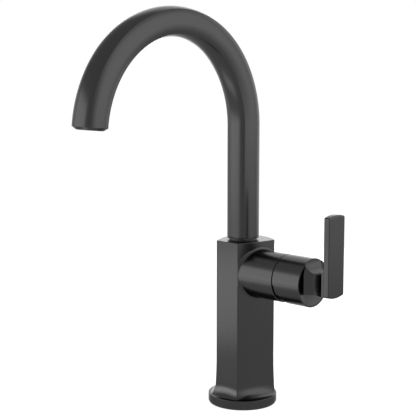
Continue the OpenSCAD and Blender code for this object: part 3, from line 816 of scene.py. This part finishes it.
class FAUCET_OT_blade(FaucetOperator, bpy.types.Operator):
    """Model the upright blade of the lever"""
    bl_idname = "faucet.blade"
    bl_label = "Blade"

    def execute(self, context):
        sizes = context.scene.faucet_handle
        bm = bmesh.new()
        corner, crown = 1.5 * MM, 1.2 * MM
        half = sizes.wide / 2 - corner
        middle = sizes.height + (sizes.low + sizes.high) / 2
        rise = (sizes.high - sizes.low) / 2 - corner - crown
        vert = first = bm.verts.new(at(sizes.blade, half + corner, middle + rise))
        for sign in (1, -1):
            near, far = (at(sizes.blade, side * half, middle + sign * rise) for side in (sign, -sign))
            vert = arc(bm, vert, near, math.pi / 2, BLADE_STEPS["corner"], at(1, 0))
            vert = line(bm, vert, at(0, -2 * sign * half), BLADE_STEPS["end"])
            vert = arc(bm, vert, far, math.pi / 2, BLADE_STEPS["corner"], at(1, 0))
            if sign == 1:
                vert = line(bm, vert, at(0, 0, -2 * rise), BLADE_STEPS["side"])
        line(bm, vert, first.co - vert.co, BLADE_STEPS["side"])
        face = fill(bm, close_loop(bm))
        shape = [v.co.copy() for v in face.verts]

        def to_ring(face, x, side, end):
            """Pulls an outline in by the softening of its sides and of its two ends."""
            for v, p in zip(face.verts, shape):
                y, z = p.y, p.z - middle
                sign = 1 if z > 0 else -1
                over = max(abs(z) - rise, 0) / corner
                bulge = 1 - min(abs(y) / half, 1) ** 2
                turn = max(abs(y) - half, 0) / corner
                z += sign * over * bulge * (crown - 0.5 * (end - side)) - sign * end * over
                y -= math.copysign(side * (turn if over else 1), y)
                v.co = at(x, y, middle + z)

        inner, outer = sizes.blade, sizes.blade + sizes.thick
        soft, round_end = 0.9 * MM, 1.5 * MM
        rings = [(inner + a, b, b) for a, b in rounded(soft, BLADE_STEPS["inner"])[::-1]]
        rings += [(outer - a, b, b * round_end / soft) for a, b in rounded(soft, BLADE_STEPS["outer"])]
        to_ring(face, *rings[0])
        for ring in rings[1:]:
            face = pull(bm, face, at(0, 0, 0))
            to_ring(face, *ring)
        finish_piece(bm, "lever_bar", "lever", ["lever_blade"], "satin_black", sharp=50)
        return {"FINISHED"}


def line(bm, vert, run, steps):
    """Draws a straight line from a vertex and returns its last vertex."""
    for _ in range(steps):
        made = bmesh.ops.extrude_vert_indiv(bm, verts=[vert])
        last = made["verts"][0]
        last.co = vert.co + run / steps
        vert = last
    return vert


class FAUCET_OT_dome(FaucetOperator, bpy.types.Operator):
    """Model the fixed dome that closes the gap under the hub"""
    bl_idname = "faucet.dome"
    bl_label = "Dome"

    def execute(self, context):
        sizes = context.scene.faucet_handle
        start, foot, reach = sizes.start, sizes.start - DOME["foot"], DOME["end"] - sizes.start
        outer, inner = DOME["outer"], DOME["inner"]

        def curve(radius, steps):
            """From the hub's start to the dome's open end on a ball of a radius."""
            last = math.asin(reach / radius)
            return [(start + radius * math.sin(a), radius * math.cos(a))
                    for a in (last * k / steps for k in range(steps + 1))]

        profile = [(foot, inner), (foot, outer), *curve(outer, DOME_STEPS["outer"])]
        profile += curve(inner, DOME_STEPS["inner"])[::-1]
        bm = bmesh.new()
        lathe(bm, [at(x, 0, r) for x, r in profile], at(1, 0))
        bmesh.ops.translate(bm, vec=at(0, 0, sizes.height), verts=bm.verts[:])
        finish_piece(bm, "bonnet_cap", "faucet_body", ["bonnet_dome"], "satin_black")
        return {"FINISHED"}


# The dome: how far its sleeve reaches in before the hub, where its open end is along the
# handle's axis, and its two radii.
DOME = {"foot": 3.1 * MM, "end": 58 * MM, "outer": 18.2 * MM, "inner": 16.8 * MM}


# ---- Studio ----

class FAUCET_OT_stage(FaucetOperator, bpy.types.Operator):
    """Set up the floor, the lamps, the background and the camera"""
    bl_idname = "faucet.stage"
    bl_label = "Stage"

    def execute(self, context):
        make_floor()
        make_world()
        make_lamps()
        make_camera()
        context.scene.view_settings.view_transform = "Standard"
        return {"FINISHED"}


# In view, the floor shows this share of its shading on top of a glow, so it is white and keeps
# the shadow of the faucet.
SHADE_SHARE = 0.3
FLOOR_GLOW = 0.9
FLOOR_DROP = 0.05 * MM  # keeps the floor clear of the gasket
AROUND = 0.45  # strength of the plain light from all round


def make_floor():
    """A wide pale floor, white where it is seen."""
    bm = bmesh.new()
    bmesh.ops.create_grid(bm, x_segments=2, y_segments=2, size=6)
    bmesh.ops.translate(bm, vec=at(0, 0, -FLOOR_DROP), verts=bm.verts[:])
    floor = new_object(bm, "floor")
    mat = bpy.data.materials.new("studio_floor")
    mat.use_nodes = True
    graph = Graph(mat.node_tree)
    tone = bpy.context.scene.faucet_finishes.floor
    matt = graph.add("ShaderNodeBsdfDiffuse", Color=(*tone, 1))
    shade = graph.add("ShaderNodeBsdfDiffuse", Color=(*[part * SHADE_SHARE for part in tone], 1))
    glow = graph.add("ShaderNodeEmission", Color=(1, 1, 1, 1), Strength=FLOOR_GLOW)
    pale = graph.mix("ShaderNodeAddShader", shade, glow)
    out = graph.nodes.new("ShaderNodeOutputMaterial")
    graph.put(out.inputs["Surface"], graph.mix("ShaderNodeMixShader", matt, pale, graph.in_view()))
    floor.data.materials.append(mat)


class Graph:
    """Builds a node tree from short calls."""

    def __init__(self, tree):
        self.nodes, self.links = tree.nodes, tree.links
        self.nodes.clear()

    def add(self, kind, **inputs):
        """A node with its inputs set by name."""
        node = self.nodes.new(kind)
        for name, value in inputs.items():
            self.put(node.inputs[name.replace("_", " ")], value)
        return node

    def put(self, socket, value):
        """Links a node or a socket to an input, or sets a plain value on it."""
        if isinstance(value, bpy.types.Node):
            value = value.outputs[0]
        if isinstance(value, bpy.types.NodeSocket):
            self.links.new(value, socket)
        else:
            socket.default_value = value

    def math(self, operation, *values):
        """The result of a sum on values and sockets."""
        node = self.nodes.new("ShaderNodeMath")
        node.operation = operation
        for socket, value in zip(node.inputs, values):
            self.put(socket, value)
        return node.outputs[0]

    def mix(self, kind, first, second, share=None):
        """Two shaders added up, or mixed by a share of the second."""
        node = self.nodes.new(kind)
        shaders = node.inputs if share is None else node.inputs[1:]
        self.put(shaders[0], first)
        self.put(shaders[1], second)
        if share is not None:
            self.put(node.inputs[0], share)
        return node

    def in_view(self):
        """1 for the rays that show the background: straight, mirrored, or through glass."""
        path = self.nodes.new("ShaderNodeLightPath")
        seen = self.math("MAXIMUM", path.outputs["Is Camera Ray"], path.outputs["Is Glossy Ray"])
        return self.math("MAXIMUM", seen, path.outputs["Is Transmission Ray"])


def make_world():
    """White wherever it is seen, also in the metal, and a plain soft light elsewhere."""
    world = bpy.data.worlds.new("studio")
    bpy.context.scene.world = world
    world.use_nodes = True
    graph = Graph(world.node_tree)
    around = graph.add("ShaderNodeBackground", Color=(1, 1, 1, 1), Strength=AROUND)
    seen = graph.add("ShaderNodeBackground", Color=(1, 1, 1, 1), Strength=1.0)
    out = graph.nodes.new("ShaderNodeOutputWorld")
    graph.put(out.inputs["Surface"], graph.mix("ShaderNodeMixShader", around, seen, graph.in_view()))


# Soft boxes that stand round the set: name, azimuth and distance from the spout's axis, height
# of the middle, width, tallness and brightness over the white of the set. Azimuth 0 is in
# front, 90 is on the handle's side.
SOFT_BOXES = [
    ("back_box", 200, 0.7, 0.65, 1.3, 1.3, 1.8),
    ("left_box", -37, 0.9, 0.3, 1.0, 0.6, 2.1),
    ("left_low_box", -39, 0.22, 0.045, 0.22, 0.09, 1.7),
    ("side_box", -97, 0.6, 0.2, 0.65, 0.4, 1.1),
    ("handle_box", 112, 0.6, 0.35, 0.95, 0.7, 0.8),
    ("handle_high_box", 118, 0.6, 0.5, 0.8, 0.7, 0.8),
]


def make_lamps():
    """The soft boxes, each facing the spout's axis."""
    for name, azimuth, distance, height, width, tall, bright in SOFT_BOXES:
        light = bpy.data.lights.new(name, "AREA")
        light.shape = "RECTANGLE"
        light.size = width
        light.size_y = tall
        light.energy = 4 * width * tall * bright
        lamp = bpy.data.objects.new(name, light)
        turn = math.radians(azimuth)
        lamp.location = at(distance * math.sin(turn), -distance * math.cos(turn), height)
        lamp.rotation_euler = at(*lamp.location.xy).to_track_quat("Z", "Y").to_euler()
        bpy.context.scene.collection.objects.link(lamp)


# The picture's width and the focal length in its pixels, the camera's turn and tilt in
# radians, and its place: to the side, up and back from the spout's axis.
FRAME_PX = 416
FOCAL_PX = 1191.487
VIEW_TURN = 0.745
VIEW_TILT = 0.151
VIEW_SIDE = -28.873 * MM
VIEW_HEIGHT = 163.172 * MM
VIEW_DISTANCE = 976.36 * MM
SENSOR = 36  # the sensor's width in millimetres


def make_camera():
    """The camera, turned and tilted towards the faucet."""
    camera = bpy.data.cameras.new("camera")
    camera.sensor_fit = "HORIZONTAL"
    camera.sensor_width = SENSOR
    camera.lens = SENSOR * FOCAL_PX / FRAME_PX
    camera.clip_start = 0.05
    view = bpy.data.objects.new("camera", camera)
    turn, tilt = VIEW_TURN, VIEW_TILT
    right = at(math.cos(turn), math.sin(turn))
    back = at(math.sin(turn) * math.cos(tilt), -math.cos(turn) * math.cos(tilt), math.sin(tilt))
    up = back.cross(right)
    place = at(0, 0, VIEW_HEIGHT) + right * VIEW_SIDE + back * VIEW_DISTANCE
    view.matrix_world = Matrix.Translation(place) @ Matrix((right, up, back)).transposed().to_4x4()
    bpy.context.scene.collection.objects.link(view)
    bpy.context.scene.camera = view


# ---- Panel and registration ----

OPERATORS = (FAUCET_OT_finishes, FAUCET_OT_gasket, FAUCET_OT_body, FAUCET_OT_collar, FAUCET_OT_spout,
             FAUCET_OT_tip, FAUCET_OT_neck_ring, FAUCET_OT_dome, FAUCET_OT_hub, FAUCET_OT_blade,
             FAUCET_OT_stage)
GROUPS = {"faucet_body": BodySizes, "faucet_spout": SpoutSizes, "faucet_handle": HandleSizes,
          "faucet_finishes": Finishes}


class FAUCET_PT_panel(bpy.types.Panel):
    """Lists the sizes and the steps of the faucet"""
    bl_idname = "FAUCET_PT_panel"
    bl_label = "Gooseneck Bar Faucet"
    bl_space_type = "VIEW_3D"
    bl_region_type = "UI"
    bl_category = "Faucet"

    def draw(self, context):
        for group, kind in GROUPS.items():
            box = self.layout.box()
            box.label(text=kind.__doc__)
            for name in kind.__annotations__:
                box.prop(getattr(context.scene, group), name)
        for operator in OPERATORS:
            self.layout.operator(operator.bl_idname)


CLASSES = (*GROUPS.values(), *OPERATORS, FAUCET_PT_panel)


def register():
    for kind in CLASSES:
        bpy.utils.register_class(kind)
    for name, kind in GROUPS.items():
        setattr(bpy.types.Scene, name, bpy.props.PointerProperty(type=kind))


def unregister():
    for name in GROUPS:
        delattr(bpy.types.Scene, name)
    for kind in reversed(CLASSES):
        bpy.utils.unregister_class(kind)


def main():
    """Runs all the steps."""
    register()
    for operator in OPERATORS:
        group, name = operator.bl_idname.split(".")
        getattr(getattr(bpy.ops, group), name)()


if __name__ == "__main__":
    main()
